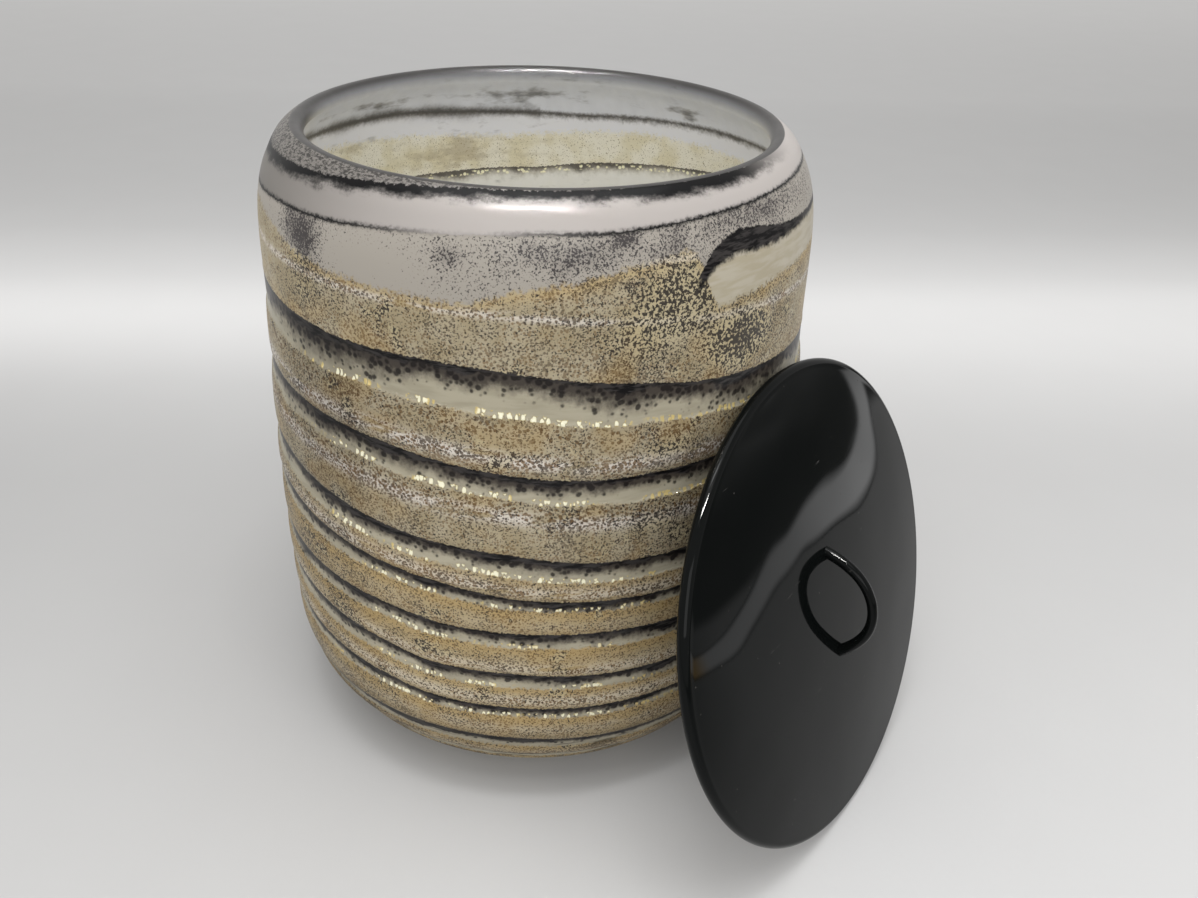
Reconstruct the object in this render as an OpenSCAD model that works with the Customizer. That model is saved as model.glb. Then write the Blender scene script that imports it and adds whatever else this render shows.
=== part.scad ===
// Fresh-water jar for a tea room: a blown glass jar with a wide mouth, and a
// turned, lacquered wooden lid with an arched grip. The lid is off the jar and
// leans against it, as it does while water is taken.
// Millimetres, +Z up. The jar stands on Z = 0, its axis is Z, and the lid leans
// on it from +X.

/* [Jar] */
// Height of the jar from its foot to the crest of the rim
jar_h = 180; // [165:1:200]
// Radius of the flat, ground foot
foot_r = 52.5; // [45:0.5:60]
// Height of the rounded heel between foot and wall
heel_h = 34.5; // [25:0.5:45]
// Radius at the top of the heel
belly_r = 80; // [75:0.5:88]
// Radius where the wall ends and the shoulder starts
shoulder_r = 78; // [74:0.5:86]
// Height where the shoulder starts
shoulder_z = 121; // [105:1:135]
// Swell of the wall between heel and shoulder
wall_swell = 1; // [0:0.1:4]
// How far the shoulder keeps the direction of the wall
shoulder_pull = 29; // [15:0.5:35]

/* [Mouth] */
// Radius of the crest of the rim
mouth_r = 64.5; // [58:0.5:68]
// Slope of the shoulder where it reaches the rim, in degrees
rim_slope = 32; // [20:0.5:45]
// How far the shoulder keeps the slope of the rim
rim_pull = 17.5; // [10:0.5:24]
// Thickness of the fire-polished rim
rim_t = 5; // [4:0.1:7]

/* [Glass] */
// Thickness of the wall
wall_t = 5; // [3.5:0.1:7]
// Thickness of the base
base_t = 9; // [6:0.5:14]

/* [Lid] */
// How far the lid reaches past the crest of the rim
lid_overhang = 3.2; // [2:0.1:8]
// Thickness of the lid's round edge
lid_edge_t = 3.6; // [2.6:0.1:5]
// Rise of the crown above the edge
lid_rise = 3.4; // [2:0.1:8]
// Depth of the step that drops into the mouth
step_d = 1.6; // [1:0.1:3]
// Clearance between the step and the mouth
step_gap = 1.5; // [0.5:0.1:4]
// Lean of the lid from upright, in degrees
lid_lean = 19; // [12:0.5:30]
// Clearance between the leaning lid and the jar
lean_gap = 0.3; // [0.2:0.05:0.6]

/* [Handle] */
// Outer span of the arch on the crown
arch_span = 33.5; // [26:0.5:40]
// Outer height of the arch above the crown
arch_h = 12.4; // [9:0.2:16]
// Thickness of the round bar at the top of the arch
bar_d = 2.8; // [2.4:0.1:4]
// Thickness of the legs where they enter the lid
leg_d = 3.4; // [2.6:0.1:4.5]
// Inward lean of the legs at the crown, in degrees
leg_lean = 25; // [18:1:30]
// Half angle of the tight curve at the top of the arch, in degrees
top_half = 45; // [35:1:55]
// Turn of the arch from the line of the lean, in degrees
arch_turn = 4; // [-45:1:45]
// Length of each tenon in the lid
tenon_l = 4; // [2.5:0.5:5]
// Glue gap around a tenon
tenon_gap = 0.06; // [0.03:0.01:0.15]

/* [Hidden] */
$fn = 96;
curve_n = 18;
wall_n = 10;
round_n = 12;
arch_n = 14;
bar_sides = 16;

function reverse(list) = [for (i = [len(list) - 1:-1:0]) list[i]];
function unit(v) = v / norm(v);
function polar(r, a) = r * [cos(a), sin(a)];

// Quarter of an ellipse from a flat start at p to an upright end at q
function heel(p, q) =
    [for (i = [0:curve_n]) let (a = 90 * i / curve_n)
        [p.x + (q.x - p.x) * sin(a), p.y + (q.y - p.y) * (1 - cos(a))]];

// Inner points of the wall from p to q, swollen outward in the middle
function wall(p, q) =
    [for (i = [1:wall_n - 1]) let (u = i / wall_n)
        p + (q - p) * u + [4 * wall_swell * u * (1 - u), 0]];

function bezier(a, b, c, d) =
    [for (i = [0:curve_n]) let (u = i / curve_n, v = 1 - u)
        v * v * v * a + 3 * v * v * u * b + 3 * v * u * u * c + u * u * u * d];

// Jar: both faces of the glass follow the same heel, wall and shoulder, and the
// rim is a half round that closes them
rim_c = [mouth_r, jar_h - rim_t / 2];
rim_out = polar(rim_t / 2, 90 - rim_slope);
rim_dir = polar(1, 180 - rim_slope);
wall_dir = unit([shoulder_r - belly_r - 4 * wall_swell, shoulder_z - heel_h]);

function shoulder(p, q) = bezier(p, p + wall_dir * shoulder_pull, q - rim_dir * rim_pull, q);
function jar_face(floor_p, inset, rim_p) =
    let (low = [belly_r - inset, heel_h], high = [shoulder_r - inset, shoulder_z])
    concat(heel(floor_p, low), wall(low, high), shoulder(high, rim_p));

outer_face = jar_face([foot_r, 0], 0, rim_c + rim_out);
inner_face = jar_face([foot_r - wall_t, base_t], wall_t, rim_c - rim_out);
rim_round = [for (i = [1:round_n - 1]) rim_c + polar(rim_t / 2, 90 - rim_slope + 180 * i / round_n)];

// Lid: flat underside at Z = 0 in its own frame, half-round edge, spherical
// crown, and a step that drops into the mouth
lid_r = mouth_r + lid_overhang;
edge_r = lid_edge_t / 2;
dome_chord = lid_r - edge_r;
dome_r = (dome_chord * dome_chord + lid_rise * lid_rise) / (2 * lid_rise);
dome_half = asin(dome_chord / dome_r);
crown_z = lid_edge_t + lid_rise;
step_r = mouth_r - rim_t / 2 - step_gap;

edge_round = [for (i = [0:round_n]) [dome_chord, edge_r] + polar(edge_r, -90 + 180 * i / round_n)];
dome = [for (i = [1:curve_n]) let (a = dome_half * (1 - i / curve_n))
    [dome_r * sin(a), crown_z - dome_r + dome_r * cos(a)]];

// Handle: an arch of three arcs that meet without a kink, on the bar's centre
// line in the XZ plane of the lid. A point is found from the direction of its
// outward normal, measured from the lid's axis. The legs run straight on into
// the lid as tenons.
half_span = (arch_span - leg_d) / 2;
rise = arch_h - bar_d / 2;
leg_a = 90 - leg_lean;
pull = sin(top_half) / (1 - cos(top_half));
side_r = (half_span - pull * rise) / (sin(leg_a) - pull * (1 - cos(leg_a)));
top_r = side_r - (side_r * (1 - cos(leg_a)) - rise) / (1 - cos(top_half));
top_z = crown_z + rise - top_r;
side_shift = side_r - top_r;

function arch_point(a) =
    abs(a) <= top_half
    ? [top_r * sin(a), top_z + top_r * cos(a)]
    : [side_r * sin(a) - sign(a) * side_shift * sin(top_half),
       top_z - side_shift * cos(top_half) + side_r * cos(a)];
function arch_d(a) = bar_d + (leg_d - bar_d) * pow(a / leg_a, 2);

// One ring of the bar around point p, square to a centre line with normal a
function ring(p, a, d) =
    [for (i = [0:bar_sides - 1]) let (t = 360 * i / bar_sides, out = d / 2 * cos(t))
        [p.x + out * sin(a), d / 2 * sin(t), p.y + out * cos(a)]];
leg_foot = arch_point(leg_a);
tenon_end = leg_foot + tenon_l * [cos(leg_a), -sin(leg_a)];
bar_rings = concat(
    [ring([-tenon_end.x, tenon_end.y], -leg_a, leg_d)],
    [for (i = [-arch_n:arch_n]) let (a = leg_a * i / arch_n) ring(arch_point(a), a, arch_d(a))],
    [ring(tenon_end, leg_a, leg_d)]);

// Lean: the edge rests on the floor, and the edge or the step, whichever meets
// the glass first, sets the distance to the jar
edge_low = edge_r;
edge_high = edge_low + 2 * dome_chord * cos(lid_lean);
jar_heights = [for (p = outer_face) [p.y, p.x]];
touch_r = edge_r + lean_gap;
step_back = [dome_chord - step_r, edge_r + step_d];
step_x = step_back.x * sin(lid_lean) - step_back.y * cos(lid_lean);
step_z = -step_back.x * cos(lid_lean) - step_back.y * sin(lid_lean);
edge_x = max([for (a = [-60:5:60]) lookup(edge_high + touch_r * sin(a), jar_heights) + touch_r * cos(a)]);
near_x = max(edge_x, lookup(edge_high + step_z, jar_heights) + lean_gap - step_x);
lean_x = near_x + dome_chord * sin(lid_lean);
lean_z = (edge_low + edge_high) / 2;

// Stands what is drawn in the lid's own frame on its edge, against the jar
module leaning() {
    translate([lean_x, 0, lean_z])
        rotate([0, 90 - lid_lean, 0])
            translate([0, 0, -edge_r])
                children();
}

// Skin over a row of rings with equal numbers of points, closed at both ends
module skin(rings) {
    n = len(rings[0]);
    last = len(rings) - 1;
    sides = [for (k = [0:last - 1], i = [0:n - 1]) let (j = (i + 1) % n)
        [k * n + i, k * n + j, (k + 1) * n + j, (k + 1) * n + i]];
    ends = [[for (i = [n - 1:-1:0]) i], [for (i = [0:n - 1]) last * n + i]];
    polyhedron([for (r = rings) each r], concat(sides, ends));
}

// The two bores that take the tenons, along the legs
module mortises() {
    for (side = [0, 1])
        mirror([side, 0, 0])
            translate([leg_foot.x, 0, leg_foot.y])
                rotate([0, 180 - leg_lean, 0])
                    translate([0, 0, -leg_d])
                        cylinder(d = leg_d + 2 * tenon_gap, h = leg_d + tenon_l + tenon_gap);
}

module jar_body() {
    color("darkkhaki")
        rotate_extrude()
            polygon(concat([[0, 0]], outer_face, rim_round, reverse(inner_face), [[0, base_t]]));
}

module lid_panel() {
    color("dimgray")
        leaning()
            difference() {
                rotate_extrude()
                    polygon(concat([[0, -step_d], [step_r, -step_d], [step_r, 0]], edge_round, dome));
                rotate([0, 0, -arch_turn]) mortises();
            }
}

module lid_handle() {
    color("black")
        leaning()
            rotate([0, 0, -arch_turn]) skin(bar_rings);
}

jar_body();
lid_panel();
lid_handle();
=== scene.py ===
import math
from math import radians

import bpy
import numpy as np
from mathutils import Matrix, Vector


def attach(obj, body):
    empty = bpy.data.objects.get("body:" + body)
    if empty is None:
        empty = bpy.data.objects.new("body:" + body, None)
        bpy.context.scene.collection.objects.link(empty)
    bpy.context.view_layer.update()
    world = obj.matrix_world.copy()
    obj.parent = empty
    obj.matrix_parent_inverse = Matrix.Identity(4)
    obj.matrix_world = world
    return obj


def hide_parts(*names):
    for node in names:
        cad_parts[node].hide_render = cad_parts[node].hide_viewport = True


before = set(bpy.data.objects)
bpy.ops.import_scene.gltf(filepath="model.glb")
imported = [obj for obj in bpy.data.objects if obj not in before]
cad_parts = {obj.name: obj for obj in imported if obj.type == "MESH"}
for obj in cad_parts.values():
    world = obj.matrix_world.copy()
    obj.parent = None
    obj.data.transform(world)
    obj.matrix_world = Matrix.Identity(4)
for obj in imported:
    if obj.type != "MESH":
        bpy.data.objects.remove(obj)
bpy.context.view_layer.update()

MM = 0.001
FACING = radians(-50.816)   # polar angle of the side of the jar that faces the camera
TOWARD = Vector((math.cos(FACING), math.sin(FACING), 0))


# Camera

def place_camera():
    """Camera fitted to the photo: where it stands, where it looks and its focal length in the photo's pixels."""
    photo_width, focal_px, sensor = 1198, 1004.7, 36.0
    place = (0.17577, -0.21564, 0.2468)
    heading, pitch, roll = radians(125.157), radians(31.806), radians(2.369)
    look = Vector((math.cos(heading) * math.cos(pitch), math.sin(heading) * math.cos(pitch), -math.sin(pitch)))
    level = Vector((math.sin(heading), -math.cos(heading), 0))
    up = level.cross(look)
    right = math.cos(roll) * level + math.sin(roll) * up
    up = math.cos(roll) * up - math.sin(roll) * level
    camera = bpy.data.objects.new("camera", bpy.data.cameras.new("camera"))
    bpy.context.scene.collection.objects.link(camera)
    camera.data.sensor_fit = "HORIZONTAL"
    camera.data.sensor_width = sensor
    camera.data.lens = sensor * focal_px / photo_width
    camera.data.clip_start, camera.data.clip_end = 0.01, 50
    turn = Matrix((right, up, -look)).transposed().to_4x4()
    camera.matrix_world = Matrix.Translation(place) @ turn
    bpy.context.scene.camera = camera


place_camera()


# Node graphs

def srgb(red, green, blue):
    """Linear colour of an 8-bit sRGB colour."""
    def channel(v):
        v /= 255
        return v / 12.92 if v <= 0.04045 else ((v + 0.055) / 1.055) ** 2.4
    return (channel(red), channel(green), channel(blue), 1.0)


class Graph:
    """Small helper that writes a material's nodes as formulas."""

    def __init__(self, name):
        self.material = bpy.data.materials.new(name)
        self.material.use_nodes = True
        self.tree = self.material.node_tree
        self.shader = self.tree.nodes["Principled BSDF"]

    def node(self, kind, **settings):
        made = self.tree.nodes.new("ShaderNode" + kind)
        for key, value in settings.items():
            setattr(made, key, value)
        return made

    def put(self, socket, value):
        if isinstance(value, bpy.types.NodeSocket):
            self.tree.links.new(value, socket)
        else:
            socket.default_value = value

    def math(self, operation, *values, clamp=False):
        made = self.node("Math", operation=operation, use_clamp=clamp)
        for socket, value in zip(made.inputs, values):
            self.put(socket, value)
        return made.outputs[0]

    def add(self, a, b):
        return self.math("ADD", a, b)

    def sub(self, a, b):
        return self.math("SUBTRACT", a, b)

    def mul(self, a, b):
        return self.math("MULTIPLY", a, b)

    def div(self, a, b):
        return self.math("DIVIDE", a, b)

    def biggest(self, a, b):
        return self.math("MAXIMUM", a, b)

    def madd(self, a, b, c):
        """a * b + c"""
        return self.math("MULTIPLY_ADD", a, b, c)

    def flip(self, a):
        return self.math("SUBTRACT", 1.0, a)

    def smooth(self, value, low, high):
        """A soft step from 0 at low to 1 at high. High may be the smaller of the two."""
        made = self.node("MapRange", interpolation_type="SMOOTHSTEP")
        for name, v in (("Value", value), ("From Min", low), ("From Max", high)):
            self.put(made.inputs[name], v)
        return made.outputs[0]

    def hump(self, value, centre, width):
        """A bell of height 1 around centre, 0.37 high at one width from it."""
        d = self.div(self.sub(value, centre), width)
        return self.math("POWER", 0.37, self.mul(d, d))

    def mix(self, factor, a, b):
        """Blend of two colours. A Mix node has one pair of sockets for each type of value."""
        made = self.node("Mix", data_type="RGBA")
        self.put(made.inputs[0], factor)
        self.put(made.inputs[6], a)
        self.put(made.inputs[7], b)
        return made.outputs[2]

    def lerp(self, factor, a, b):
        """Blend of two numbers."""
        made = self.node("Mix", data_type="FLOAT")
        self.put(made.inputs[0], factor)
        self.put(made.inputs[2], a)
        self.put(made.inputs[3], b)
        return made.outputs[0]

    def point(self):
        return self.node("TexCoord").outputs["Object"]

    def stretch(self, vector, factors):
        made = self.node("VectorMath", operation="MULTIPLY")
        self.put(made.inputs[0], vector)
        made.inputs[1].default_value = factors
        return made.outputs[0]

    def scale(self, vector, factor):
        made = self.node("VectorMath", operation="SCALE")
        self.put(made.inputs[0], vector)
        self.put(made.inputs["Scale"], factor)
        return made.outputs[0]

    def level(self, vector, direction):
        """How far a point lies along a level direction."""
        made = self.node("SeparateXYZ")
        self.put(made.inputs[0], vector)
        return self.add(self.mul(made.outputs[0], direction.x), self.mul(made.outputs[1], direction.y))

    def noise(self, vector, size_mm, detail=2.0, rough=0.5):
        made = self.node("TexNoise")
        self.put(made.inputs["Vector"], vector)
        made.inputs["Scale"].default_value = 1 / (size_mm * MM)
        made.inputs["Detail"].default_value = detail
        made.inputs["Roughness"].default_value = rough
        return made.outputs[0]

    def cells(self, vector, size_mm):
        made = self.node("TexVoronoi")
        self.put(made.inputs["Vector"], vector)
        made.inputs["Scale"].default_value = 1 / (size_mm * MM)
        return made.outputs["Distance"]

    def attribute(self, name):
        return self.node("Attribute", attribute_name=name).outputs["Fac"]

    def bump(self, height, distance_mm, strength=1.0):
        made = self.node("Bump")
        made.inputs["Strength"].default_value = strength
        made.inputs["Distance"].default_value = distance_mm * MM
        self.put(made.inputs["Height"], height)
        return made.outputs[0]

    def set(self, **values):
        for name, value in values.items():
            self.put(self.shader.inputs[name.replace("_", " ")], value)


# Meshes

def new_object(name, vertices, faces, material_index=None):
    mesh = bpy.data.meshes.new(name)
    mesh.from_pydata(vertices, [], faces)
    mesh.polygons.foreach_set("use_smooth", np.ones(len(faces), bool))
    if material_index is not None:
        mesh.polygons.foreach_set("material_index", material_index)
    mesh.update()
    made = bpy.data.objects.new(name, mesh)
    bpy.context.scene.collection.objects.link(made)
    return made


def ring_faces(first, second, count):
    k = np.arange(count)
    j = (k + 1) % count
    return np.stack([first + k, first + j, second + j, second + k], 1).tolist()


def lathe(name, rings, low_pole, high_pole, materials=None):
    """Closed skin over rings of equal counts, with one pole at each end. Materials has one slot for each ring."""
    count = len(rings[0])
    materials = materials or [0] * len(rings)
    vertices = np.concatenate([np.concatenate(rings), [low_pole, high_pole]])
    faces, index = [], []
    for row in range(len(rings) - 1):
        faces += ring_faces(row * count, (row + 1) * count, count)
        index += [materials[row]] * count
    low, high, last = len(vertices) - 2, len(vertices) - 1, (len(rings) - 1) * count
    for k in range(count):
        j = (k + 1) % count
        faces.append((low, j, k))
        faces.append((last + k, last + j, high))
    index += [materials[0], materials[-1]] * count
    return new_object(name, vertices.tolist(), faces, index)


def along(points, step):
    """The same line with points at even steps."""
    points = np.asarray(points, float)
    run = np.concatenate([[0], np.cumsum(np.linalg.norm(np.diff(points, axis=0), axis=1))])
    at = np.linspace(0, run[-1], max(2, int(round(run[-1] / step)) + 1))
    return np.stack([np.interp(at, run, points[:, k]) for k in range(2)], 1)


def blurred(line, reach):
    """The same values, each drawn towards its neighbours within an odd number of steps."""
    kernel = np.hanning(reach) / np.hanning(reach).sum()
    return np.convolve(np.pad(line, reach // 2, mode="edge"), kernel, mode="valid")


def smoothstep(value, low, high):
    x = np.clip((value - low) / (high - low), 0, 1)
    return x * x * (3 - 2 * x)


# Jar: the profile of the solid, with the low relief of the glass threads wound on it

JAR_H, FOOT_R, HEEL_H, BELLY_R = 180.0, 52.5, 34.5, 80.0
SHOULDER_R, SHOULDER_Z, SWELL, SHOULDER_PULL = 78.0, 121.0, 1.0, 29.0
MOUTH_R, RIM_SLOPE, RIM_PULL, RIM_T = 64.5, radians(32), 17.5, 5.0
WALL_T, BASE_T = 5.0, 9.0
COLUMNS = 512
RELIEF = 0.7   # mm from the top of a band down to the pale glass

# The lower thread, wound to the right. Each row is one turn of its dark upper edge: degrees from the
# side that faces the camera, and mm along the wall from the crest of the rim. The first turn is -2.
LOWER_THREAD = [
    [(-180, 2), (180, 24)],
    [(-180, 24), (-70, 22), (0, 22), (60, 27), (110, 31), (125, 33), (165, 38), (180, 40.5)],
    [(-70, 41), (-40, 42.3), (-20, 42), (-10, 42.5), (0, 44), (10, 46), (20, 47.5), (30, 50), (40, 51.5), (60, 54)],
    [(-180, 61), (-70, 65), (-50, 65.5), (-30, 66.5), (-20, 68), (0, 71), (10, 72), (30, 72.5), (110, 78)],
    [(-180, 82), (-62, 86.7), (-45, 88.9), (-23, 91.8), (-5, 93.3), (8, 96.2), (23, 97.7), (60, 98.3)],
    [(-180, 99), (-62, 100.1), (-46, 101.7), (-18, 104.6), (-5, 107.1), (8, 108.6), (23, 110)],
    [(-180, 116), (-62, 117.2), (-30, 117), (-18, 118.3), (0, 118.8), (15, 119.8), (27, 121)],
    [(-180, 128), (-56, 130), (-32, 131.1), (-23, 132.9), (-5, 133), (8, 134.5), (27, 136)],
    [(-180, 142), (-53, 143.8), (-32, 144.5), (-23, 145.7), (-5, 146), (8, 146.9), (27, 147.4)],
    [(-180, 156), (-43, 160.3), (-22, 159.3), (-5, 159.2), (7, 160.5), (23, 161.4)],
    [(-180, 166)], [(-180, 175)], [(-180, 185)], [(-180, 195), (180, 205)]]
LOWER_FIRST = -2
# Where the gold starts in each turn, and where its silvery streak runs, as shares of the turn; the streak is partly
# painted sheen
GOLD_AT = [0.4, 0.43, 0.43, 0.29, 0.5, 0.3, 0.33, 0.38, 0.25, 0.4, 0.4, 0.4, 0.4, 0.4]
SILVER_AT = [0.4, 0.36, 0.84, 0.5, 0.78, 0.75, 0.82, 0.72, 0.6, 0.7, 0.7, 0.7, 0.7, 0.7]
# How strong that streak is, and how far the smoke reaches below the dark edge, in mm
SILVER_SHEEN = [0.8, 0.8, 1.0, 0.9, 0.9, 0.15, 0.9, 1.0, 0.4, 0.5, 0.5, 0.5, 0.5, 0.5]
SMOKE = [2.0, 5.0, 6.6, 4.8, 4.4, 3.8, 4.0, 3.4, 3.0, 2.6, 2.4, 2.4, 2.4, 2.4]

# The upper thread, wound to the left, from the rim down to the hook in which it ends. The first turn is -1.
UPPER_THREAD = [
    [(180, -12)],
    [(180, -2), (110, 0.5), (60, 1.5), (30, 2.2), (10, 1.8), (-10, 2), (-30, 4), (-50, 6.5), (-75, 8.2),
     (-110, 8.4)],
    [(180, 8.2), (70, 8.3), (50, 9), (30, 10), (20, 10.7), (10, 11.3), (0, 11), (-20, 12.5), (-30, 13.5),
     (-40, 14.7), (-60, 16), (-70, 17), (-110, 18.5), (-140, 19), (-160, 21)],
    [(180, 22), (170, 22.5), (150, 21), (130, 20), (110, 19.5), (70, 19.3), (60, 19.2), (50, 19), (44, 18),
     (38, 17.3), (34, 18.5), (31, 21), (29.5, 23.5), (28, 26), (26, 30), (20, 33)],
    [(180, 34)], [(180, 46), (-180, 58)]]
UPPER_FIRST = -1

# Upper edge of the gold between the two threads
GOLD_EDGE = [(-180, 29), (-170, 30), (-160, 29), (-140, 27), (-110, 24), (-70, 20), (-60, 22), (-50, 25),
             (-40, 26.5), (-30, 27), (-12, 27.5), (-5, 24), (5, 22), (10, 20.5), (20, 18), (27, 16.5), (29, 20),
             (31, 27), (33, 32), (40, 31), (50, 29.5), (70, 28.5), (110, 26.5), (150, 26), (170, 28), (180, 29)]

# Where the gold and the smoke are worn to loose grains: degrees, mm from the crest, the reach of both, strength
WORN = [(25, 27, 10, 11, 0.9), (40, 42, 9, 8, 1.4), (17, 38, 7, 10, 0.5), (-48, 34, 6, 7, 0.6),
        (-48, 20, 6, 6, 1.5), (3, 16, 13, 4, 0.7), (45, 12, 22, 4, 0.8), (15, 12.5, 2.5, 1.6, 1.2),
        (24, 66, 6, 4, 0.8), (22, 86, 7, 5, 0.7),
        (-66, 31, 10, 12, -1.2), (-64, 59, 10, 7, -0.5), (-31, 22, 9, 4.5, -1.2), (-16, 17, 3, 3.5, 0.8),
        (-37, 60, 2.2, 4.5, 0.8), (-174, 15, 12, 3.5, 0.9), (136, 16, 5, 3, 0.8), (-128, 13.5, 9, 2.5, 0.8),
        (-127, 27, 8, 1.4, 1.0), (-158, 34, 13, 6, 0.8)]


def jar_face(floor_r, floor_z, inset, rim_point):
    """Half outline of one face of the wall, from the floor over heel and wall to the rim."""
    low, high = np.array([BELLY_R - inset, HEEL_H]), np.array([SHOULDER_R - inset, SHOULDER_Z])
    a = np.linspace(0, math.pi / 2, 240)
    heel = np.stack([floor_r + (low[0] - floor_r) * np.sin(a), floor_z + (low[1] - floor_z) * (1 - np.cos(a))], 1)
    u = np.linspace(0, 1, 240)[1:, None]
    wall = low + (high - low) * u + np.concatenate([4 * SWELL * u * (1 - u), 0 * u], 1)
    wall_dir = np.array([SHOULDER_R - BELLY_R - 4 * SWELL, SHOULDER_Z - HEEL_H])
    wall_dir /= np.linalg.norm(wall_dir)
    rim_dir = np.array([-math.cos(RIM_SLOPE), math.sin(RIM_SLOPE)])
    b, c, v = high + wall_dir * SHOULDER_PULL, rim_point - rim_dir * RIM_PULL, 1 - u
    shoulder = v ** 3 * high + 3 * v * v * u * b + 3 * v * u * u * c + u ** 3 * rim_point
    return np.concatenate([heel, wall, shoulder])


def unwound(turns, sense, blur):
    """Distance of each turn of a thread from the crest, one row per turn and one column per step of angle."""
    points = sorted((360 * k + sense * a, s) for k, row in enumerate(turns) for a, s in row)
    steps = np.arange(len(turns) * COLUMNS) * 360 / COLUMNS - 180
    line = np.interp(steps, [p[0] for p in points], [p[1] for p in points])
    lines = blurred(line, blur).reshape(len(turns), COLUMNS)
    return lines if sense > 0 else np.roll(lines[:, ::-1], 1, axis=1)


def wind(arc, turns, first, sense, blur):
    """Turn number at each point of the wall, the width of a turn there, and the turn's row in the table."""
    lines = unwound(turns, sense, blur)
    # A line wound to the left reaches column 0 from column 1, and keeps its slope there
    if sense < 0:
        lines[:, 0] = 2 * lines[:, 1] - lines[:, 2]
    index = np.arange(len(turns)) + first
    place = np.stack([np.interp(arc, lines[:, c], index) for c in range(COLUMNS)], 1)
    row = np.clip(np.floor(place).astype(int) - first, 0, len(turns) - 2)
    width = np.take_along_axis(np.diff(lines, axis=0), row, 0)
    return place, np.clip(width, 5, 30), row


def by_turn(values, row, side):
    """Value of each turn, drawn on the far side towards that of the turn that it runs into."""
    values, count = np.array(values), len(values)
    share = 0.5 * smoothstep(np.abs(side), radians(100), math.pi)
    beside = np.clip(row + np.sign(side).astype(int), 0, count - 1)
    return values[row] * (1 - share) + values[beside] * share


def thread_fields(arc, side):
    """Values on the wall that the glass materials read: place and width of both threads, gold and wear."""
    degrees = np.degrees(side)
    place, width, row = wind(arc, LOWER_THREAD, LOWER_FIRST, 1, 9)
    upper, pitch, _ = wind(arc, UPPER_THREAD, UPPER_FIRST, -1, 5)
    a, s = degrees[None, :], arc[:, None]
    worn = np.zeros(place.shape)
    for angle, at, angle_reach, reach, strength in WORN:
        apart = (a - angle + 180) % 360 - 180
        worn += strength * np.exp(-(apart / angle_reach) ** 2 - ((s - at) / reach) ** 2)
    edge = np.interp(degrees, [p[0] for p in GOLD_EDGE], [p[1] for p in GOLD_EDGE])
    fields = dict(turn=place + side / (2 * math.pi), width=width, neck=upper - side / (2 * math.pi), pitch=pitch,
                  leaf=s - edge[None, :], start=by_turn(GOLD_AT, row, side), shine=by_turn(SILVER_AT, row, side),
                  silver_sheen=by_turn(SILVER_SHEEN, row, side), smoke=by_turn(SMOKE, row, side), worn=worn,
                  arc=np.broadcast_to(s, place.shape))
    return place, fields


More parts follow.
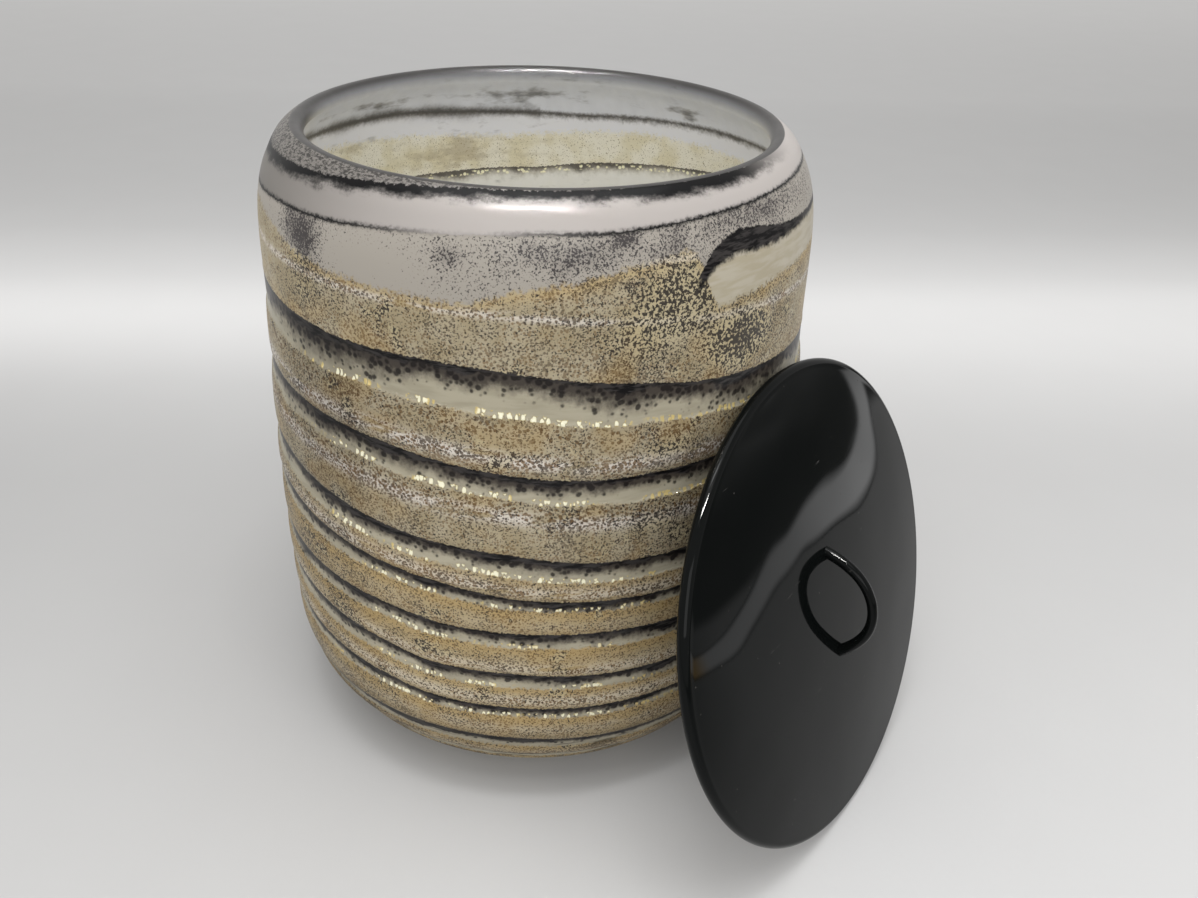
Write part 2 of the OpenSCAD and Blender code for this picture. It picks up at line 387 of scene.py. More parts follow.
def make_jar():
    """The jar in rows from the middle of the foot, up the outside, over the rim and down to the middle inside."""
    outer_step, inner_step, flat_rows = 0.7, 1.2, 7
    rim_c = np.array([MOUTH_R, JAR_H - RIM_T / 2])
    rim_out = RIM_T / 2 * np.array([math.sin(RIM_SLOPE), math.cos(RIM_SLOPE)])
    outer = along(jar_face(FOOT_R, 0, 0, rim_c + rim_out), outer_step)
    inner = along(jar_face(FOOT_R - WALL_T, BASE_T, WALL_T, rim_c - rim_out), inner_step)[::-1]
    a = math.pi / 2 - RIM_SLOPE + np.linspace(0, math.pi, 19)[1:-1]
    rim = rim_c + RIM_T / 2 * np.stack([np.cos(a), np.sin(a)], 1)
    foot = np.stack([np.linspace(0, FOOT_R, flat_rows + 2)[1:-1], np.zeros(flat_rows)], 1)
    floor = np.stack([np.linspace(FOOT_R - WALL_T, 0, flat_rows + 2)[1:-1], np.full(flat_rows, BASE_T)], 1)
    rows = np.concatenate([foot, outer, rim, inner, floor])
    first_outer, first_rim = len(foot), len(foot) + len(outer)
    first_inner = first_rim + len(rim)

    slope = np.gradient(rows, axis=0)
    normal = np.stack([slope[:, 1], -slope[:, 0]], 1)
    normal /= np.linalg.norm(normal, axis=1)[:, None]
    crest = first_rim + int(np.argmax(rows[first_rim:first_inner, 1]))
    run = np.concatenate([[0], np.cumsum(np.linalg.norm(np.diff(rows, axis=0), axis=1))])
    arc = np.abs(run - run[crest])

    side = np.linspace(-math.pi, math.pi, COLUMNS, endpoint=False)
    angle = side + FACING
    place, fields = thread_fields(arc, side)
    z = rows[:, 1][:, None]

    # Relief: each gold band swells out of the pale glass, with a low ridge along its silvery streak
    width = fields["width"]
    within = (place - np.floor(place)) * width
    gold = within - fields["start"] * width
    share = np.clip(gold / (width * (1 - fields["start"])), 0, 1)
    band = (smoothstep(gold, -0.9, 0.5) * (0.55 + 0.45 * (1 - (2 * share - 1) ** 2))
            * (1 - smoothstep(within - width, -1.4, 0.0)))
    ridge = 0.2 * np.exp(-((within - fields["shine"] * width) / 1.1) ** 2)
    wound = smoothstep(place, -0.06, 0.0)
    throwing = 0.25 * np.sin(z / 6.5 + 0.6 * np.sin(angle)) * smoothstep(arc, 12, 40)[:, None]
    height = RELIEF * (np.clip((band + ridge) * wound, 0, 1) - 1) + 0.12 * (throwing - 0.25)
    mask = np.zeros(len(rows))
    mask[first_outer:first_rim] = (smoothstep(arc[first_outer:first_rim], 4, 12)
                                   * smoothstep(rows[first_outer:first_rim, 1], 0.3, 6))
    height *= mask[:, None]

    radius = rows[:, 0][:, None] + normal[:, 0][:, None] * height
    level = z + normal[:, 1][:, None] * height
    points = np.stack([radius * np.cos(angle), radius * np.sin(angle), level], -1) * MM
    outside, inside, ground = 0, 1, 2
    index = [ground] * first_outer + [outside] * (first_rim - first_outer) + [inside] * (len(rows) - first_rim)
    jar = lathe("jar_glass", list(points), (0, 0, 0), (0, 0, BASE_T * MM), index)
    for name, value in fields.items():
        data = jar.data.attributes.new(name, "FLOAT", "POINT").data
        data.foreach_set("value", np.append(value.ravel(), [value[0, 0], value[-1, 0]]).astype(np.float32))
    return jar


def thread_pattern(g, point, softness):
    """Masks of both threads, the gold and the smoke at a point of the glass. Softness is in mm."""
    beside = Vector((-TOWARD.y, TOWARD.x, 0))
    angle = g.math("ARCTAN2", g.level(point, beside), g.level(point, TOWARD))
    turns = g.div(angle, 2 * math.pi)
    m = {name: g.attribute(name) for name in ("turn", "width", "neck", "pitch", "leaf", "start", "shine", "silver_sheen",
                                              "smoke", "worn", "arc")}
    jag = g.sub(g.noise(point, 1.0, 3, 0.6), 0.5)
    ragged = g.sub(g.noise(g.stretch(point, (1, 1, 0.8)), 2.2, 3, 0.65), 0.5)
    m.update(angle=angle, jag=jag, speck=g.noise(point, 0.45, 2, 0.6), grit=g.noise(point, 0.75, 2, 0.6),
             patch=g.noise(point, 14, 2))

    # Lower thread: a black edge, smoke under it, a pale strip, then gold
    place = g.add(g.sub(m["turn"], turns), g.div(g.mul(jag, 1.5), m["width"]))
    lap = g.math("FLOOR", place)
    part = g.sub(place, lap)
    below = g.mul(part, m["width"])
    curl = g.mul(g.smooth(below, 0.0, 12.0), 0.06)
    wound = g.smooth(g.add(g.sub(g.add(lap, turns), curl), g.mul(jag, 0.02)), -0.69, -0.675)
    thick = g.biggest(g.madd(g.sub(m["patch"], 0.46), 9.0, 0.75), 0.5)
    line = g.mul(g.smooth(below, g.add(thick, 0.7 + softness), g.sub(thick, 0.3 + softness)), wound)
    reach = g.mul(m["smoke"], g.madd(g.sub(m["patch"], 0.5), 1.6, 1.0))
    fade = g.add(g.sub(1.0, g.div(below, reach)), g.mul(ragged, 0.7))
    start = g.madd(g.sub(g.noise(point, 13, 1), 0.5), 0.08, m["start"])
    edge = g.mul(g.sub(part, start), m["width"])
    low_gold = g.smooth(g.add(edge, jag), -0.3 - softness, 0.3 + softness)
    top_edge = g.add(g.add(m["leaf"], g.mul(jag, 5.0)), g.mul(ragged, 2.5))
    top_gold = g.smooth(top_edge, -0.8 - softness, 0.8 + softness)

    # Upper thread: mm below its streak, its fine line and its hook
    high = g.add(g.add(m["neck"], turns), g.div(g.mul(jag, 1.6), m["pitch"]))
    m.update(part=part, below=below, wound=wound, line=line, fade=fade, edge=edge,
             gold=g.lerp(wound, top_gold, low_gold), streak=g.mul(high, m["pitch"]),
             fine=g.mul(g.sub(high, 1.0), m["pitch"]), hook=g.mul(g.sub(high, 2.0), m["pitch"]))
    thick = g.madd(g.hump(angle, radians(40), radians(14)), 1.95, 0.75)
    hook = g.smooth(m["hook"], g.sub(-0.4 - softness, thick), g.sub(0.1 + softness, thick))
    under = g.madd(ragged, 3.0, m["hook"])
    hook = g.mul(hook, g.smooth(under, g.add(thick, 1.0 + softness), g.sub(thick, 0.7 + softness)))
    m["hook_line"] = g.mul(hook, g.smooth(g.madd(jag, 0.05, angle), radians(27.6), radians(29)))
    behind = g.smooth(g.math("ABSOLUTE", angle), radians(85), radians(110))
    left = g.mul(behind, g.math("LESS_THAN", angle, 0.0))
    m["under_hook"] = g.biggest(g.smooth(m["hook"], -0.3, 0.5), g.mul(g.smooth(m["fine"], -0.3, 0.5), left))
    faint = g.mul(g.hump(angle, radians(-13), radians(13)), 0.85)
    kept = g.mul(g.flip(faint), g.smooth(angle, radians(92), radians(78)))
    broad = g.madd(behind, g.madd(g.sub(m["patch"], 0.45), 4.0, 1.0), 0.55 + softness * 0.3)
    m["fine_line"] = g.mul(g.hump(m["fine"], 0.0, broad), kept)
    m["behind"] = behind
    return m


def neck_colour(g, point, m, light, lit, mottle_light, mottle_dark, rim, dark):
    """Colour of the glass above the gold: a grey lip, a smoke streak, a white band and a mottled zone."""
    angle, streak = m["angle"], m["streak"]
    bright = g.biggest(g.smooth(angle, radians(-70), radians(-8)), g.smooth(angle, radians(-110), radians(-165)))
    colour = g.mix(bright, light, lit)
    worn = g.add(m["worn"], g.mul(g.sub(g.noise(point, 9, 3, 0.6), 0.5), 1.4))
    level = g.madd(worn, 0.13, 0.405)
    mottle = g.smooth(g.lerp(0.35, m["speck"], m["grit"]), g.add(level, 0.05), g.sub(level, 0.05))
    tone = g.mix(g.mul(g.smooth(worn, 0.2, 1.1), 0.45), mottle_light, mottle_dark)
    mottled = g.mix(m["behind"], g.mix(mottle, tone, mottle_dark), lit)
    colour = g.mix(g.smooth(m["fine"], -0.2, 0.5), colour, mottled)

    wide = g.madd(g.hump(angle, radians(30), radians(15)), 0.7, 0.9)
    front = g.mul(g.smooth(angle, radians(-105), radians(-80)), g.smooth(angle, radians(75), radians(42)))
    drift = g.sub(g.noise(g.stretch(point, (1, 1, 3)), 7, 3, 0.6), 0.5)
    top = g.smooth(g.madd(m["jag"], 1.6, streak), g.sub(-0.7, wide), g.sub(0.1, wide))
    low = g.smooth(g.madd(drift, 5.0, streak), g.add(wide, 2.6), g.sub(wide, 0.6))
    loose = g.smooth(g.madd(low, 0.55, m["speck"]), 0.55, 0.85)
    smoke = g.mul(g.mul(top, g.mul(low, g.madd(loose, 0.5, 0.5))), front)
    colour = g.mix(smoke, colour, dark)
    streaky = g.smooth(g.noise(g.stretch(point, (1, 1, 2.5)), 1.1, 4, 0.7), 0.42, 0.56)
    lip = g.mix(g.madd(streaky, 0.88, 0.12), dark, rim)
    above = g.mul(g.smooth(streak, g.sub(0.2, wide), g.sub(-0.8, wide)), g.smooth(angle, radians(20), radians(-10)))
    above = g.mul(above, g.flip(m["behind"]))
    colour = g.mix(g.mul(above, 0.9), colour, lip)
    colour = g.mix(m["fine_line"], colour, dark)
    return colour


def glass_outside():
    g = Graph("banded_glass_outside")
    point = g.point()
    m = thread_pattern(g, point, 0.0)
    angle = m["angle"]
    flat = g.stretch(point, (1, 1, 5))

    # Gold leaf: a tan sheet, amber in places, with a silvery streak along each band, partly silver in the leaf and
    # partly painted sheen of light on the low ridge there
    tan = g.mix(g.smooth(g.noise(point, 7, 3), 0.38, 0.64), srgb(180, 169, 144), srgb(168, 155, 126))
    amber = g.smooth(g.noise(point, 15, 2), 0.50, 0.62)
    low_band = g.mul(g.smooth(m["arc"], 88, 110), g.madd(g.smooth(m["edge"], 1.0, 4.0), -0.5, 1.0))
    tan = g.mix(g.mul(amber, 0.4), tan, srgb(184, 160, 114))
    tan = g.mix(g.mul(low_band, 0.7), tan, srgb(184, 157, 104))
    rim_gold = g.mul(g.hump(m["leaf"], 1.2, 1.6), g.flip(m["wound"]))
    rim_gold = g.mul(rim_gold, g.smooth(angle, radians(-58), radians(-45)))
    tan = g.mix(g.mul(rim_gold, 0.4), tan, srgb(196, 168, 112))
    apart = g.mul(g.sub(m["part"], m["shine"]), m["width"])
    silver_sheen = g.hump(apart, 0.0, g.lerp(m["wound"], 0.9, 1.9))
    silver_sheen = g.mul(silver_sheen, g.smooth(g.noise(flat, 17, 3, 0.6), 0.35, 0.48))
    silver_sheen = g.mul(silver_sheen, m["silver_sheen"])
    bright = g.mix(g.smooth(m["arc"], 85, 115), srgb(224, 217, 208), srgb(208, 197, 175))
    leaf = g.mix(g.mul(silver_sheen, 0.95), tan, bright)

    # Brown pits and pinholes everywhere, worn in places to loose grains on dark glass
    blotch = g.smooth(g.noise(point, 12, 4, 0.62), 0.56, 0.68)
    worn = g.biggest(m["worn"], g.madd(g.flip(blotch), m["worn"], g.mul(blotch, 0.7)))
    level = g.add(g.madd(worn, 0.115, 0.418), g.mul(g.sub(g.noise(point, 8, 2), 0.5), 0.10))
    level = g.madd(g.sub(g.noise(g.stretch(point, (1, 1, 9)), 16, 2), 0.5), 0.09, level)
    left = g.mul(g.smooth(angle, radians(-25), radians(-45)), g.smooth(angle, radians(-140), radians(-100)))
    level = g.madd(g.mul(left, m["wound"]), 0.03, level)
    loose = g.smooth(worn, 0.25, 0.8)
    leaf = g.mix(g.mul(loose, 0.6), leaf, srgb(200, 187, 152))
    grain = g.lerp(g.madd(loose, 0.6, 0.2), m["speck"], m["grit"])
    hole = g.smooth(grain, g.add(level, 0.03), g.sub(level, 0.03))
    dense = g.add(g.madd(worn, 0.10, 0.38), g.mul(g.sub(g.noise(point, 10, 2), 0.5), 0.5))
    dense = g.add(dense, g.madd(silver_sheen, 0.10, g.mul(g.smooth(m["part"], 0.6, 0.95), 0.08)))
    dense = g.madd(g.hump(m["arc"], 134, 14), -0.07, dense)
    pit = g.smooth(g.cells(point, 0.8), g.add(dense, 0.09), g.sub(dense, 0.09))
    pit_colour = g.mix(g.smooth(g.noise(point, 6, 2), 0.4, 0.6), srgb(80, 66, 52), srgb(118, 90, 54))
    pit = g.mul(pit, g.madd(silver_sheen, 0.25, 0.62))
    leaf = g.mix(g.mul(pit, g.flip(loose)), leaf, pit_colour)
    spot = g.mul(g.smooth(g.cells(point, 1.35), 0.42, 0.30), g.smooth(m["width"], 16, 20))
    spot = g.mul(spot, g.mul(g.smooth(m["edge"], 0.3, 1.2), g.smooth(m["edge"], 8.0, 3.5)))
    leaf = g.mix(g.mul(spot, g.mul(m["wound"], 0.75)), leaf, srgb(104, 77, 44))
    hole_colour = g.mix(g.mul(amber, g.flip(loose)), srgb(47, 43, 43), srgb(96, 72, 44))
    leaf = g.mix(g.mul(hole, 0.94), leaf, hole_colour)

    # Glass without gold: the neck, cream under the hook, pale strips with smoke and dots
    neck = neck_colour(g, point, m, srgb(122, 118, 113), srgb(184, 178, 174), srgb(170, 164, 155), srgb(74, 70, 70),
                       srgb(126, 122, 117), srgb(16, 16, 17))
    cream = g.mix(g.smooth(g.noise(flat, 8, 2), 0.35, 0.65), srgb(188, 181, 164), srgb(178, 169, 148))
    body = g.mix(m["under_hook"], neck, cream)
    pale = g.mix(g.smooth(g.noise(flat, 9, 2), 0.35, 0.7), srgb(180, 173, 153), srgb(167, 160, 140))
    body = g.mix(m["wound"], body, pale)
    fade = m["fade"]
    body = g.mix(g.mul(g.smooth(fade, -0.15, 0.6), m["wound"]), body, srgb(72, 66, 60))
    size = g.madd(g.sub(g.noise(point, 4, 2), 0.5), 0.8, g.madd(fade, 0.42, 0.24))
    blob = g.smooth(g.cells(point, 1.7), g.add(size, 0.17), g.sub(size, 0.15))
    blob = g.mul(blob, g.smooth(fade, -0.45, 0.05))
    body = g.mix(g.mul(g.mul(blob, m["wound"]), 0.85), body, srgb(28, 24, 24))
    colour = g.mix(m["gold"], body, leaf)
    dark = g.biggest(m["line"], m["hook_line"])
    ink = g.mix(g.smooth(g.noise(flat, 5, 3, 0.6), 0.40, 0.62), srgb(16, 15, 16), srgb(60, 57, 56))
    colour = g.mix(dark, colour, ink)

    # Darker left of the front, most of all on the two widest bands, partly painted shade; painted shade towards the
    # heel, and streaks of smoke on the heel
    wide = g.mul(g.hump(angle, radians(-42), radians(13)), g.smooth(m["arc"], 94, 86))
    deep_tone_and_shade = g.mul(g.madd(wide, 0.2, g.mul(left, 0.08)), m["wound"])
    heel = g.smooth(m["arc"], 147, 160)
    colour = g.scale(colour, g.sub(1.0, g.madd(heel, 0.2, deep_tone_and_shade)))
    smear = g.smooth(g.noise(g.stretch(point, (1, 1, 7)), 14, 3, 0.6), 0.5, 0.62)
    smear = g.mul(smear, g.smooth(m["arc"], 154, 163))
    colour = g.mix(g.mul(smear, 0.6), colour, srgb(58, 52, 42))

    # Painted highlights: a broken row of bare gold beads along the upper edge of each band, painted bright gold
    # with near-white cores, mostly on the front and the back
    sparse = g.mul(g.smooth(m["arc"], 104, 118), g.smooth(m["arc"], 146, 136))
    row = g.smooth(g.madd(sparse, -0.10, g.noise(g.stretch(point, (1, 1, 0.4)), 14, 2)), 0.40, 0.50)
    fewer = g.madd(g.smooth(angle, radians(8), radians(24)), -0.6, 1.0)
    front = g.mul(g.smooth(angle, radians(-54), radians(-38)), fewer)
    row = g.mul(g.mul(row, g.biggest(front, m["behind"])), g.smooth(m["arc"], 160, 150))
    low = g.smooth(m["arc"], 90, 112)
    glint_bead = g.cells(g.stretch(point, (1, 1, 0.45)), 1.15)
    glint_bead = g.smooth(glint_bead, g.madd(low, -0.05, 0.54), g.madd(low, -0.05, 0.40))
    reach = g.madd(low, -0.2, 0.95)
    glint_bead = g.mul(glint_bead, g.smooth(g.math("ABSOLUTE", g.add(m["edge"], 0.6)), reach, g.sub(reach, 0.45)))
    glint_bead = g.mul(g.mul(glint_bead, row), g.mul(m["wound"], g.flip(dark)))
    colour = g.mix(g.smooth(glint_bead, 0.0, 0.5), colour, srgb(214, 192, 124))
    colour = g.mix(g.smooth(glint_bead, 0.35, 0.8), colour, srgb(255, 250, 222))

    # Fine relief: a lip along each band's upper edge, pricked gold and raised beads
    lip = g.mul(g.smooth(m["edge"], -0.6, 0.1), g.madd(g.smooth(m["edge"], 0.2, 1.4), -0.6, 1.0))
    lip = g.mul(lip, m["wound"])
    pricked = g.biggest(hole, g.mul(pit, 0.8))
    fine = g.mul(g.mul(pricked, m["gold"]), -0.16)
    relief = g.add(g.add(lip, fine), g.mul(glint_bead, 0.8))
    metal = g.mul(m["gold"], g.madd(pricked, -0.14, 0.14))
    rough = g.lerp(m["gold"], 0.36, g.madd(m["speck"], 0.3, 0.32))
    rough = g.lerp(glint_bead, rough, 0.2)
    g.set(Base_Color=colour, Metallic=metal, Roughness=rough, Normal=g.bump(relief, 0.36),
          IOR=1.15, Coat_Weight=0.16, Coat_Roughness=0.13,
          Subsurface_Weight=0.2, Subsurface_Radius=(1.0, 0.95, 0.85), Subsurface_Scale=0.004)
    return g.material


# Inside: the same pattern seen through the glass, softer, in colours painted much lighter to stand in for the light
# that comes through the wall
def glass_inside():
    g = Graph("banded_glass_inside")
    point = g.point()
    m = thread_pattern(g, point, 0.6)
    striae = g.noise(g.stretch(point, (1, 1, 0.15)), 3.0, 3)
    smooth_grey = g.mix(striae, srgb(221, 224, 231), srgb(205, 208, 215))
    white = srgb(230, 231, 236)
    neck = neck_colour(g, point, m, srgb(218, 218, 218), srgb(226, 226, 226), smooth_grey, srgb(150, 148, 148),
                       srgb(84, 80, 76), srgb(64, 61, 61))
    neck = g.mix(m["behind"], neck, smooth_grey)
    neck = g.mix(m["under_hook"], neck, white)
    worn = g.madd(g.sub(g.noise(g.stretch(point, (1, 1, 2.6)), 8, 3, 0.6), 0.5), 2.6, m["worn"])
    leaf = g.mix(g.smooth(g.noise(point, 7, 3), 0.36, 0.66), srgb(238, 232, 212), srgb(222, 213, 184))
    leaf = g.mix(g.mul(g.smooth(worn, 0.1, 1.0), 0.6), leaf, srgb(160, 149, 122))
    leaf = g.mix(g.smooth(m["speck"], 0.40, 0.34), leaf, srgb(150, 136, 96))
    pale = g.mix(striae, srgb(238, 237, 231), srgb(228, 227, 219))
    body = g.mix(m["wound"], neck, pale)
    body = g.mix(g.mul(g.smooth(m["fade"], 0.2, 1.1), m["wound"]), body, srgb(150, 144, 134))
    colour = g.mix(g.mul(m["gold"], 0.9), body, leaf)
    fine = g.mul(m["fine_line"], m["behind"])
    smudge = g.mul(g.mul(g.smooth(worn, 0.2, 1.1), 0.8), g.flip(m["gold"]))
    dark = g.biggest(g.mul(m["line"], 0.8), g.mul(smudge, m["behind"]))
    dark = g.biggest(g.biggest(m["hook_line"], fine), dark)
    colour = g.mix(g.mul(dark, 0.92), colour, srgb(58, 55, 54))
    bottom = g.mix(striae, srgb(226, 224, 212), srgb(206, 203, 188))
    colour = g.mix(g.smooth(m["arc"], 178, 190), colour, bottom)
    colour = g.mix(g.smooth(m["arc"], 7.0, 1.6), colour, srgb(50, 48, 47))
    glint = g.smooth(g.math("ABSOLUTE", g.sub(m["below"], 1.4)), 1.0, 0.4)
    glint = g.mul(glint, g.smooth(g.cells(point, 1.5), 0.5, 0.3))
    glint = g.mul(g.mul(glint, m["wound"]), g.smooth(m["arc"], 48, 44))
    colour = g.mix(glint, colour, srgb(255, 250, 214))
    g.set(Base_Color=colour, Roughness=0.36, IOR=1.45, Coat_Weight=0.12, Coat_Roughness=0.2,
          Normal=g.bump(g.noise(g.stretch(point, (1, 1, 4)), 14, 3), 0.25),
          Subsurface_Weight=0.8, Subsurface_Radius=(1.0, 0.97, 0.9), Subsurface_Scale=0.012)
    return g.material


def ground_glass():
    g = Graph("ground_foot")
    point = g.point()
    scratch = g.noise(g.stretch(point, (6, 1, 1)), 1.6, 4, 0.7)
    colour = g.mix(scratch, srgb(150, 147, 136), srgb(196, 194, 186))
    g.set(Base_Color=colour, Roughness=g.madd(scratch, 0.3, 0.45), IOR=1.5, Normal=g.bump(scratch, 0.08))
    return g.material


jar = make_jar()
for material in (glass_outside(), glass_inside(), ground_glass()):
    jar.data.materials.append(material)
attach(jar, "jar")
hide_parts("jar_body")


# Lid: turned disc and bent grip, in the lid's own frame, then leaned on the jar

LID_R, EDGE_R, LID_RISE, STEP_D, STEP_R = 67.7, 1.8, 3.4, 1.6, 60.5
CROWN_Z = 2 * EDGE_R + LID_RISE
ARCH_SPAN, ARCH_H, BAR_D, LEG_D = 33.5, 12.4, 2.8, 3.4
LEG_A, TOP_HALF, ARCH_TURN, TENON = radians(65), radians(45), radians(-4), 4.0
LID_AT, LID_TURN = (101.263, 0, 64.1097), radians(71)   # middle of the disc's edge circle, and its turn
LEAN = Matrix.Translation(LID_AT) @ Matrix.Rotation(LID_TURN, 4, "Y") @ Matrix.Translation((0, 0, -EDGE_R))


def leaned(points):
    """Points of the lid's own frame, in mm, where the lid leans, in metres."""
    turn = np.array(LEAN.to_3x3())
    return (np.asarray(points) @ turn.T + np.array(LEAN.translation)) * MM


def make_disc():
    columns = 256
    chord = LID_R - EDGE_R
    dome_r = (chord ** 2 + LID_RISE ** 2) / (2 * LID_RISE)
    a = np.linspace(-math.pi / 2, math.pi / 2, 33)
    edge = np.stack([chord + EDGE_R * np.cos(a), EDGE_R + EDGE_R * np.sin(a)], 1)
    half = math.asin(chord / dome_r)
    b = half * (1 - np.linspace(0, 1, 60)[1:-1])
    dome = np.stack([dome_r * np.sin(b), CROWN_Z - dome_r + dome_r * np.cos(b)], 1)
    soft = 0.35
    c = np.linspace(0, math.pi / 2, 7)
    step = [[r, -STEP_D] for r in np.linspace(0, STEP_R - soft, 9)[1:]]
    step += [[STEP_R - soft + soft * math.sin(v), -STEP_D + soft * (1 - math.cos(v))] for v in c[1:]]
    step += [[STEP_R + soft * (1 - math.cos(v)), -soft + soft * math.sin(v)] for v in c]
    under = [[r, 0] for r in np.linspace(STEP_R + soft, chord, 5)[1:-1]]
    rows = np.concatenate([step, under, edge, dome])
    angle = np.linspace(0, 2 * math.pi, columns, endpoint=False)
    rings = [leaned(np.stack([r * np.cos(angle), r * np.sin(angle), np.full(columns, z)], 1)) for r, z in rows]
    poles = leaned([[0, 0, -STEP_D], [0, 0, CROWN_Z]])
    return lathe("lid_disc", rings, poles[0], poles[1])


def make_grip():
    """One bar along a flat top arc and two tighter side arcs, with straight tenons at both ends."""
    sides, steps = 40, 121
    half_span, rise = (ARCH_SPAN - LEG_D) / 2, ARCH_H - BAR_D / 2
    pull = math.sin(TOP_HALF) / (1 - math.cos(TOP_HALF))
    side_r = (half_span - pull * rise) / (math.sin(LEG_A) - pull * (1 - math.cos(LEG_A)))
    top_r = side_r - (side_r * (1 - math.cos(LEG_A)) - rise) / (1 - math.cos(TOP_HALF))
    top_z, shift = CROWN_Z + rise - top_r, side_r - top_r
    turn = np.array(Matrix.Rotation(ARCH_TURN, 3, "Z"))

    def centre(a):
        if abs(a) <= TOP_HALF:
            return np.array([top_r * math.sin(a), 0, top_z + top_r * math.cos(a)])
        return np.array([side_r * math.sin(a) - math.copysign(shift * math.sin(TOP_HALF), a), 0,
                         top_z - shift * math.cos(TOP_HALF) + side_r * math.cos(a)])

    def ring(p, a, d):
        w = np.linspace(0, 2 * math.pi, sides, endpoint=False)
        out = np.outer(np.cos(w), [math.sin(a), 0, math.cos(a)]) + np.outer(np.sin(w), [0, 1, 0])
        return p + d / 2 * out

    rings, stops = [], np.linspace(-LEG_A, LEG_A, steps)
    down = np.array([math.cos(LEG_A), 0, -math.sin(LEG_A)])
    mirrored = down * [-1, 1, 1]
    for depth in (TENON, TENON / 2):
        rings.append(ring(centre(-LEG_A) + depth * mirrored, -LEG_A, LEG_D))
    for a in stops:
        rings.append(ring(centre(a), a, BAR_D + (LEG_D - BAR_D) * (a / LEG_A) ** 2))
    for depth in (TENON / 2, TENON):
        rings.append(ring(centre(LEG_A) + depth * down, LEG_A, LEG_D))
    ends = [centre(-LEG_A) + TENON * mirrored, centre(LEG_A) + TENON * down]
    rings = [leaned(r @ turn.T) for r in rings]
    ends = leaned(np.array(ends) @ turn.T)
    return lathe("lid_grip", rings, ends[0], ends[1])


def lacquer(name, waviness):
    g = Graph(name)
    point = g.point()
    swirl = g.noise(point, 24, 2)
    dust = g.mul(g.smooth(g.cells(point, 4.5), 0.07, 0.03), g.smooth(g.noise(point, 30, 1), 0.5, 0.6))
    scratch = g.smooth(g.noise(g.stretch(point, (1, 0.12, 1)), 1.5, 2), 0.70, 0.75)
    scratch = g.mul(scratch, g.smooth(g.noise(point, 22, 2), 0.50, 0.62))
    colour = g.mix(swirl, (0.0026, 0.0034, 0.0034, 1), (0.0044, 0.0050, 0.0048, 1))
    colour = g.mix(g.mul(g.biggest(dust, g.mul(scratch, 0.5)), 0.4), colour, srgb(96, 94, 90))
    rough = g.add(g.madd(swirl, 0.04, 0.03), g.mul(g.biggest(dust, scratch), 0.3))
    g.set(Base_Color=colour, Roughness=rough, IOR=1.2, Normal=g.bump(g.noise(point, 30, 1), waviness))
    return g.material


disc, grip = make_disc(), make_grip()
disc.data.materials.append(lacquer("black_lacquer_disc", 0.25))
grip.data.materials.append(lacquer("black_lacquer_grip", 0.05))
for piece, node in ((disc, "lid_panel"), (grip, "lid_handle")):
    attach(piece, "lid")
    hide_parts(node)


# Studio: pale floor, three light panels, soft surroundings, and two surfaces that only show as reflections

FORWARD = Vector((-0.5758, 0.8176, 0))   # away from the camera, along the floor
RIGHT = Vector((0.8176, 0.5758, 0))


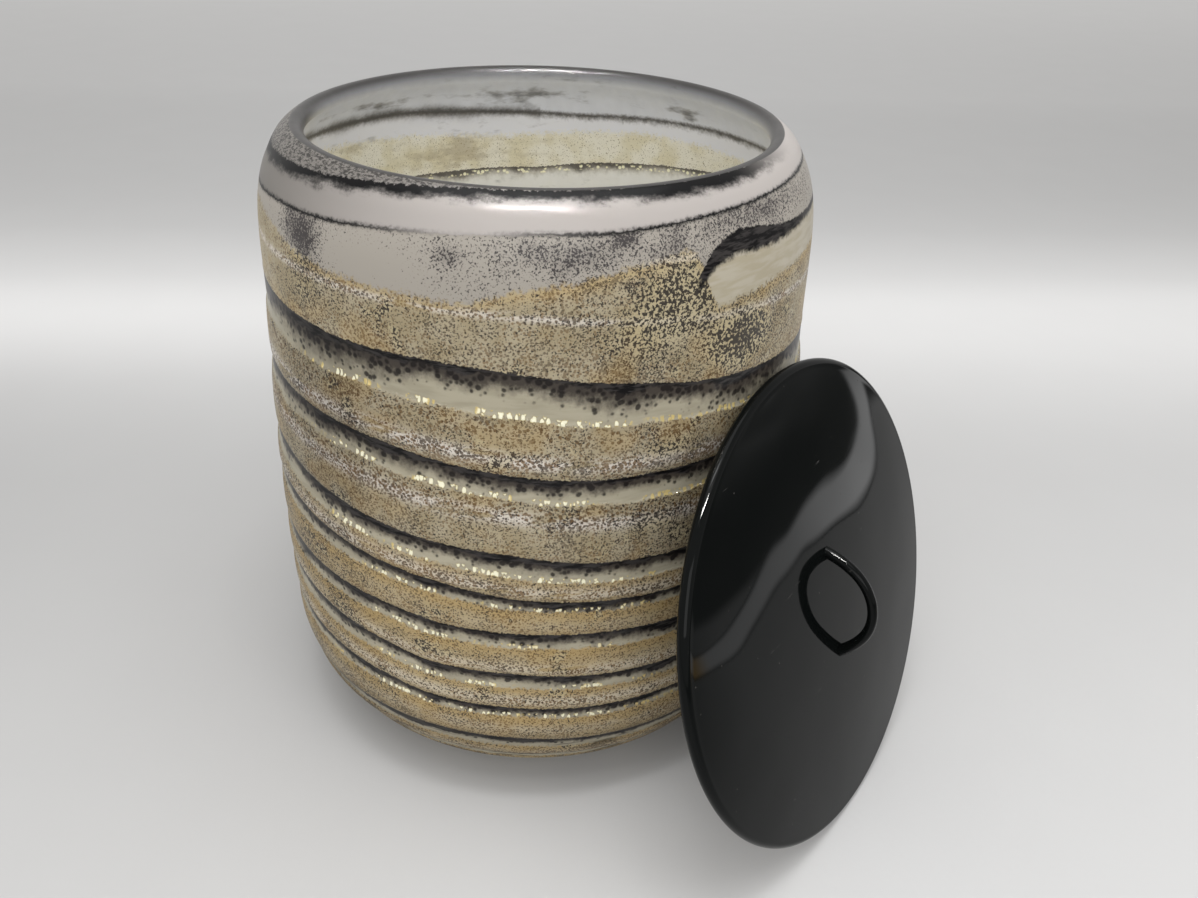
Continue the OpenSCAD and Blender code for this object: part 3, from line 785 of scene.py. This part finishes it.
def make_floor():
    size, slant = 6.0, 0.0997
    floor = new_object("floor", [(-size, -size, 0), (size, -size, 0), (size, size, 0), (-size, size, 0)],
                       [(0, 1, 2, 3)])
    g = Graph("floor_paper")
    point = g.point()
    forward, right = g.level(point, FORWARD), g.level(point, RIGHT)
    # Grey of the paper by its distance from the front, in metres, along lines that run a little askew, with painted
    # light and shade in its lighter and darker bands
    depth = g.sub(forward, g.mul(right, slant))
    ramp = g.node("ValToRGB")
    stops = [(-0.15, 212), (0.09, 197), (0.19, 214), (0.271, 234), (0.33, 222), (0.42, 203), (0.6, 198),
             (0.85, 208), (1.5, 228), (2.2, 234)]
    low, high = stops[0][0], stops[-1][0]
    elements = ramp.color_ramp.elements
    elements[0].position, elements[1].position = 0.0, 1.0
    elements[0].color, elements[1].color = srgb(*[stops[0][1]] * 3), srgb(*[stops[-1][1]] * 3)
    for at, level in stops[1:-1]:
        made = elements.new((at - low) / (high - low))
        made.color = srgb(level, level, level)
    ramp.color_ramp.interpolation = "CARDINAL"
    g.put(ramp.inputs[0], g.div(g.sub(depth, low), high - low))
    # Painted light: near the front the paper is lighter to the right, and lighter in a spot in front of the jar's
    # foot, where it takes out part of the shadow
    near = g.smooth(depth, 0.28, 0.16)
    across = g.math("MINIMUM", g.math("MAXIMUM", g.madd(g.mul(right, near), 0.35, 0.97), 0.87), 1.08)
    front = g.mul(g.hump(right, 0.05, 0.09), g.hump(forward, -0.1, 0.05))
    across = g.mul(across, g.madd(front, 0.07, 1.0))
    fibre = g.madd(g.noise(point, 40, 3), 0.03, 0.985)
    colour = g.scale(ramp.outputs[0], g.mul(across, fibre))
    # Painted reflection: past the paper's right edge the room is dark, and in front of the lid painted shade
    # darkens the paper; both show only in the lid
    mirrored = g.node("LightPath").outputs["Is Glossy Ray"]
    dark_in_reflection = g.smooth(g.sub(right, g.mul(g.biggest(forward, 0.0), 0.5)), 0.43, 0.50)
    dark_in_reflection = g.mul(dark_in_reflection, g.madd(g.smooth(right, 0.8, 2.5), -0.75, 1.0))
    dark_in_reflection = g.biggest(dark_in_reflection, g.mul(g.smooth(forward, -0.08, -0.14), g.mul(g.smooth(right, 0.05, 0.25), 0.65)))
    colour = g.mix(g.mul(dark_in_reflection, mirrored), colour, srgb(98, 98, 97))
    g.set(Base_Color=colour, Roughness=0.9, Normal=g.bump(g.noise(point, 3, 2), 0.01, 0.3))
    g.shader.inputs["Specular IOR Level"].default_value = 0.0
    floor.data.materials.append(g.material)


def add_panel(name, width, depth, watts, place, target):
    """Rectangular light of a size in metres, turned to a target."""
    panel = bpy.data.lights.new(name, "AREA")
    panel.shape, panel.size, panel.size_y, panel.energy = "RECTANGLE", width, depth, watts
    lamp = bpy.data.objects.new(name, panel)
    lamp.location = place
    lamp.rotation_euler = (Vector(target) - Vector(place)).to_track_quat("-Z", "Y").to_euler()
    bpy.context.scene.collection.objects.link(lamp)
    return lamp


# A bright ribbon beside the set, seen only as the streak in the lid: forward and up of its upper edge, the same of
# its lower edge, in mm, and its radiance
STREAK = [(-138, 30, -141, 1, 0.9), (-119, 21, -121, 5, 1.3), (-110, 19, -112, 3, 1.6), (-86, 20.5, -81, 3, 1.6),
          (-68, 27.5, -61, 11, 1.6), (-40, 40.5, -36, 20.5, 1.6), (-11, 49.5, -6, 28.5, 1.7),
          (14, 54.5, 20, 26, 2.0), (46, 55.5, 57, 17.5, 2.0), (64, 54, 78, 22, 1.9), (73, 56, 86, 30, 1.7),
          (80, 61, 95, 46, 1.8), (85, 74, 105, 66, 1.9), (84, 91, 107, 85, 1.5), (79, 108, 104, 103, 0.6)]
STREAK_AT = 300   # mm to the right of the jar


def add_glow(name, vertices, faces, level, colour):
    """Surface that only mirrored rays see: a reflection without light or shadow of its own."""
    glow = new_object(name, vertices, faces)
    glow.data.attributes.new("level", "FLOAT", "POINT").data.foreach_set("value", level)
    g = Graph(name + "_light")
    g.set(Base_Color=(0, 0, 0, 1), Emission_Color=colour(g), Emission_Strength=g.attribute("level"))
    glow.data.materials.append(g.material)
    glow.visible_camera = glow.visible_diffuse = glow.visible_shadow = glow.visible_transmission = False


def make_streak():
    """The ribbon as a grid, with its radiance fading to both edges and an amber end."""
    steps, columns, blur = 121, 11, 11
    table = np.array(STREAK, float)
    run = np.concatenate([[0], np.cumsum(np.hypot(*np.diff(table[:, :2] + table[:, 2:4], axis=0).T))])
    at = np.linspace(0, run[-1], steps)
    table = np.stack([blurred(np.interp(at, run, column), blur) for column in table.T], 1)
    vertices, level, shares = [], [], np.linspace(0, 1, columns)
    for row in table:
        for share in shares:
            forward, up = row[:2] * (1 - share) + row[2:4] * share
            vertices.append((RIGHT * STREAK_AT + FORWARD * forward + Vector((0, 0, up))) * MM)
            level.append(row[4] * min(1.0, 5 * share, 5 * (1 - share)))
    faces = [(r * columns + c, (r + 1) * columns + c, (r + 1) * columns + c + 1, r * columns + c + 1)
             for r in range(steps - 1) for c in range(columns - 1)]

    def colour(g):
        white_part = g.smooth(g.level(g.point(), FORWARD), -0.118, -0.103)
        return g.mix(white_part, (1.0, 0.62, 0.18, 1), (1, 1, 1, 1))

    add_glow("lid_streak", vertices, faces, level, colour)


def make_glint():
    """A row of small lamps over the front of the jar, seen only as the row of glints on its shoulder."""
    count, pitch, width, depth = 22, 0.0165, 0.008, 0.08
    out, left, lift, radiance = 0.385, 0.045, 0.9, 450.0
    vertices, faces = [], []
    for k in range(count):
        middle = TOWARD * out + RIGHT * ((k - (count - 1) / 2) * pitch - left) + Vector((0, 0, lift))
        for across, along_view in ((-1, -1), (1, -1), (1, 1), (-1, 1)):
            vertices.append(middle + RIGHT * (across * width / 2) + TOWARD * (along_view * depth / 2))
        faces.append(tuple(range(4 * k, 4 * k + 4)))
    add_glow("shoulder_glint", vertices, faces, [radiance] * len(vertices), lambda g: (1.0, 0.98, 0.95, 1))


def make_light():
    up = Vector((0, 0, 1))
    add_panel("ceiling_panel", 1.0, 0.8, 4.5, TOWARD * 0.1 + up * 1.1, TOWARD * 0.101)
    bar = add_panel("overhead_bar", 0.28, 0.10, 1.0, TOWARD * 0.15 + up * 0.9, TOWARD * 0.15)
    bar.rotation_euler = (0, 0, FACING + math.pi / 2)   # its long side lies across the view
    add_panel("front_panel", 0.9, 0.6, 4.0, TOWARD * 1.2 + up * 0.75, up * 0.09)

    world = bpy.data.worlds.new("studio")
    bpy.context.scene.world = world
    world.use_nodes = True
    background = world.node_tree.nodes["Background"]
    background.inputs["Color"].default_value = (1.0, 0.99, 0.975, 1)
    background.inputs["Strength"].default_value = 0.65


make_floor()
make_streak()
make_glint()
make_light()
bpy.context.scene.view_settings.view_transform = "Standard"
